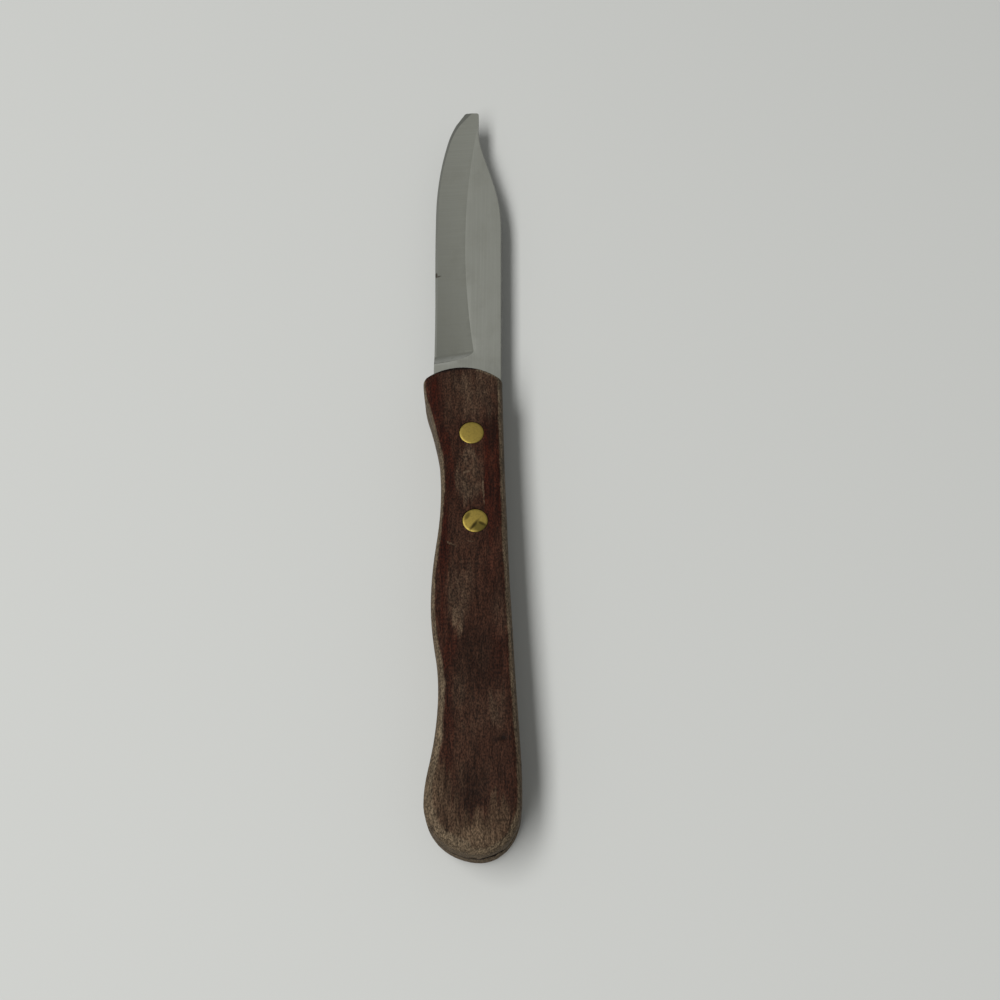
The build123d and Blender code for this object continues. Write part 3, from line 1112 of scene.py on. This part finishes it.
# The upper scale's stains, wear and marks: their places were read off the photograph, then moved and
# weighted after mean tones measured in the photograph and in the render were compared
UPPER_WOOD = WornHardwood(
    name="worn_red_hardwood_upper",
    stained=(
        Patch((-7.8, 3.0), (1.7, 7.0), turn=6.0, soft=0.4),
        Patch((-5.4, -6.0), (1.0, 6.5), turn=14.0),
        Patch((-4.0, -15.0), (0.9, 5.5), cover=0.8),
        Patch((-4.8, -35.5), (1.0, 12.5)),
        Patch((-3.6, -53.5), (1.1, 7.0), turn=-8.0),
        Patch((-3.4, -68.0), (0.9, 10.0)),
        Patch((4.3, -7.5), (1.5, 5.5), soft=0.4),
        Patch((4.7, -19.0), (1.9, 12.0), soft=0.3),
        Patch((4.0, -33.5), (2.0, 6.0), cover=0.6),
        Patch((6.5, -54.0), (2.0, 8.0), soft=0.6, cover=0.5),
    ),
    worn=(
        Patch((1.0, 5.5), (6.0, 6.5), soft=0.6, cover=0.7),
        Patch((-0.1, -15.1), (3.0, 6.6), soft=0.2, cover=0.9),
        Patch((-1.6, -40.5), (2.8, 5.5), soft=0.6, cover=0.6),
        Patch((6.4, -46.0), (1.6, 5.0), soft=0.6, cover=0.35),
        Patch((-1.6, -46.9), (1.0, 3.0)),
        Patch((-1.5, -61.5), (1.2, 4.5), soft=0.6, cover=0.45),
        Patch((5.6, -64.0), (1.6, 4.5), soft=0.6, cover=0.55),
        Patch((-0.6, -74.0), (1.0, 8.0), soft=0.6, cover=0.4),
        Patch((1.8, -66.0), (5.5, 17.0), soft=0.4, cover=0.2),
        Patch((0.5, -33.0), (5.0, 9.0), cover=0.12),
    ),
    shaded=(
        Patch((2.6, -55.5), (4.6, 5.5), soft=0.8, cover=0.7),
        Patch((1.0, -50.5), (2.6, 2.4), soft=0.7, cover=0.7),
        Patch((1.6, -79.5), (2.6, 4.0), soft=0.6, cover=0.8),
        Patch((4.6, -4.0), (1.6, 2.6), soft=0.6, cover=0.8),
    ),
    bare=(
        Patch((1.5, -92.5), (12.0, 8.0), soft=0.28, cover=0.85),
        Patch((6.4, -84.5), (2.2, 3.6), cover=0.75),
        Patch((-3.4, -84.6), (2.4, 3.4), cover=0.55),
        Patch((-6.4, -81.5), (3.2, 6.5), soft=0.4, cover=0.8),
        Patch((4.7, 10.2), (2.3, 0.35), turn=-31.0, soft=0.4, cover=0.6),
    ),
    scuffs=(
        Patch((-3.6, -30.4), (1.0, 0.2), turn=-25.0, cover=0.55),
        Patch((0.4, -29.8), (0.9, 0.12), cover=0.4),
        Patch((2.9, -18.4), (0.2, 2.6), turn=3.0, cover=0.55),
        Patch((-0.6, -13.7), (0.7, 0.25), turn=20.0, cover=0.6),
        Patch((-2.5, -46.2), (0.55, 2.0), soft=0.45, cover=0.5),
        Patch((-1.5, -49.2), (0.45, 1.4), cover=0.35),
        Patch((-0.1, -90.2), (0.35, 0.25), cover=0.7),
        Patch((2.2, -88.9), (3.2, 1.7), soft=0.7, cover=0.4),
    ),
    chips=(
        Patch((-6.2, -87.0), (0.5, 0.3), turn=-40.0, soft=0.7, cover=0.45),
        Patch((-3.5, -87.4), (0.3, 0.25), soft=0.6, cover=0.7),
        Patch((6.3, -70.6), (1.4, 0.45), turn=20.0, soft=0.8, cover=0.6),
        Patch((7.0, -70.4), (0.6, 0.5), soft=0.7, cover=0.8),
        Patch((8.2, -85.9), (0.14, 2.4), turn=-10.0, cover=0.7),
        Patch((6.8, -89.2), (0.14, 1.7), turn=-40.0, cover=0.7),
        Patch((-4.8, -82.0), (0.13, 2.2), turn=8.0, cover=0.45),
        Patch((3.6, -0.1), (3.4, 0.09), turn=-3.0, cover=0.45),
        Patch((3.4, 2.2), (3.2, 0.08), turn=3.0, cover=0.4),
    ),
)
# The photograph does not show the lower scale: its stains and wear are invented
LOWER_WOOD = WornHardwood(
    name="worn_red_hardwood_lower",
    stained=(
        Patch((-3.0, -20.0), (3.0, 18.0), soft=0.6, cover=0.8),
        Patch((4.0, -50.0), (3.0, 16.0), soft=0.6, cover=0.7),
    ),
    worn=(
        Patch((0.5, -12.0), (4.5, 12.0), soft=0.6, cover=0.7),
        Patch((-1.5, -58.0), (4.0, 14.0), soft=0.6, cover=0.6),
    ),
    shaded=(Patch((2.0, -33.0), (5.0, 7.0), soft=0.7, cover=0.5),),
    bare=(Patch((1.5, -91.0), (12.0, 10.0), soft=0.28, cover=0.85),),
    scuffs=(Patch((2.0, -40.0), (1.4, 0.2), turn=30.0, cover=0.6),),
    chips=(Patch((-3.5, -82.0), (0.5, 0.3), soft=0.4),),
)
EDGE_NICK = (
    Patch((-8.6, 41.3), (0.3, 0.7), soft=0.4, cover=0.85),
    Patch((-8.1, 40.9), (0.65, 0.2), turn=18.0, cover=0.75),
)
# The photograph shows where the dents and breaks are; their depths are guessed
UPPER_DENTS = (
    Dent((6.9, -70.4, 12.5), (1.3, 1.1, 3.0), 0.25),
    Dent((-6.4, -87.0, 11.0), (0.8, 0.7, 1.5), 0.35),
    Dent((-3.4, -30.4, 12.5), (1.4, 0.6, 2.0), 0.12),
    Dent((0.4, -15.0, 12.5), (3.2, 7.5, 2.0), 0.1),
)
SEAM_BREAKS = (
    Dent((5.0, -91.0, 6.8), (3.6, 1.6, 1.4), 0.7),
    Dent((8.6, -87.5, 6.25), (1.2, 2.6, 0.8), 0.5),
    Dent((1.4, -92.0, 7.2), (1.2, 1.2, 0.9), 0.45),
)


def main() -> None:
    """Builds the studio and the knife."""
    logging.basicConfig(level=logging.INFO, format="%(name)s %(message)s")
    Studio().build()
    Blade(SatinSteel(stains=EDGE_NICK)).build()
    Scale(Side.UPPER, UPPER_WOOD, dents=UPPER_DENTS + SEAM_BREAKS).build()
    Scale(Side.LOWER, LOWER_WOOD, dents=SEAM_BREAKS).build()
    front = AgedBrass(name="aged_brass_front")
    rear = AgedBrass(
        name="aged_brass_rear",
        tarnished=(
            Patch((2.3, -26.7), (1.5, 1.0), turn=-10.0, soft=0.35, cover=0.85),
            Patch((-0.4, -24.2), (0.4, 0.9), turn=-30.0, cover=0.9),
        ),
        dirty=(
            Patch((1.0, -26.2), (1.4, 0.32), turn=53.0, soft=0.7, cover=0.85),
            Patch((2.6, -25.8), (1.0, 0.3), turn=-27.0, soft=0.7, cover=0.75),
        ),
    )
    Rivet(Station.FRONT, front).build()
    Rivet(Station.REAR, rear).build()


if __name__ == "__main__":
    main()
